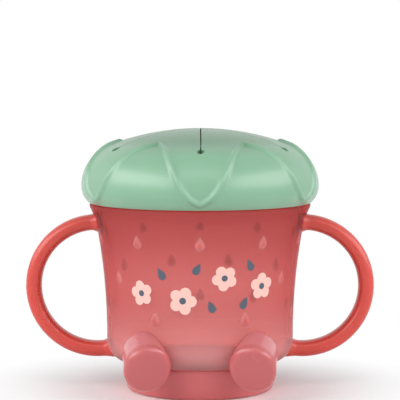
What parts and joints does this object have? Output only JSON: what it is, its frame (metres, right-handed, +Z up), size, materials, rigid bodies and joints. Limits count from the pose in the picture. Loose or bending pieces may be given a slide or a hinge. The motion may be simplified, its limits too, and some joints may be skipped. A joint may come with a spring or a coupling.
{
  "type": "toddler snack container",
  "caption": "Strawberry-shaped snack cup with two loop handles, two feet and a leafy silicone lid slit into flaps for a small hand",
  "frame": {"origin": "centre of the face the cup stands on, on the cup's axis", "axes": "+Z up along the cup's axis, +X to the right handle, front with the two feet towards -Y"},
  "size_m": [0.1286, 0.0892, 0.0963],
  "materials": {
    "cup": "milky translucent gloss",
    "base": "satin",
    "handle": "satin",
    "foot": "satin",
    "lid": "matte silicone"
  },
  "bodies": {
    "cup": {"cup_body": "cup", "base_boot": "base", "left_handle": "handle", "right_handle": "handle", "left_foot": "foot", "right_foot": "foot"},
    "lid": {"lid": "lid"},
    "flap_1": {"flap_1": "lid"},
    "flap_2": {"flap_2": "lid"},
    "flap_3": {"flap_3": "lid"},
    "flap_4": {"flap_4": "lid"},
    "flap_5": {"flap_5": "lid"},
    "flap_6": {"flap_6": "lid"}
  },
  "joints": [
    {"name": "lid_lift", "type": "slide", "parent": "cup", "child": "lid", "axis": [0, 0, 1], "range_m": [0, 0.04]},
    {"name": "flap_1_bend", "type": "hinge", "parent": "lid", "child": "flap_1", "pos_m": [0.0129, -0.02234, 0.09119], "axis": [0.866, 0.5, 0], "range_deg": [-65, 40], "stiffness_Nm_per_rad": 0.02},
    {"name": "flap_2_bend", "type": "hinge", "parent": "lid", "child": "flap_2", "pos_m": [0.0258, 0, 0.09119], "axis": [0, 1, 0], "range_deg": [-65, 40], "stiffness_Nm_per_rad": 0.02},
    {"name": "flap_3_bend", "type": "hinge", "parent": "lid", "child": "flap_3", "pos_m": [0.0129, 0.02234, 0.09119], "axis": [-0.866, 0.5, 0], "range_deg": [-65, 40], "stiffness_Nm_per_rad": 0.02},
    {"name": "flap_4_bend", "type": "hinge", "parent": "lid", "child": "flap_4", "pos_m": [-0.0129, 0.02234, 0.09119], "axis": [-0.866, -0.5, 0], "range_deg": [-65, 40], "stiffness_Nm_per_rad": 0.02},
    {"name": "flap_5_bend", "type": "hinge", "parent": "lid", "child": "flap_5", "pos_m": [-0.0258, 0, 0.09119], "axis": [0, -1, 0], "range_deg": [-65, 40], "stiffness_Nm_per_rad": 0.02},
    {"name": "flap_6_bend", "type": "hinge", "parent": "lid", "child": "flap_6", "pos_m": [-0.0129, -0.02234, 0.09119], "axis": [0.866, -0.5, 0], "range_deg": [-65, 40], "stiffness_Nm_per_rad": 0.02}
  ]
}
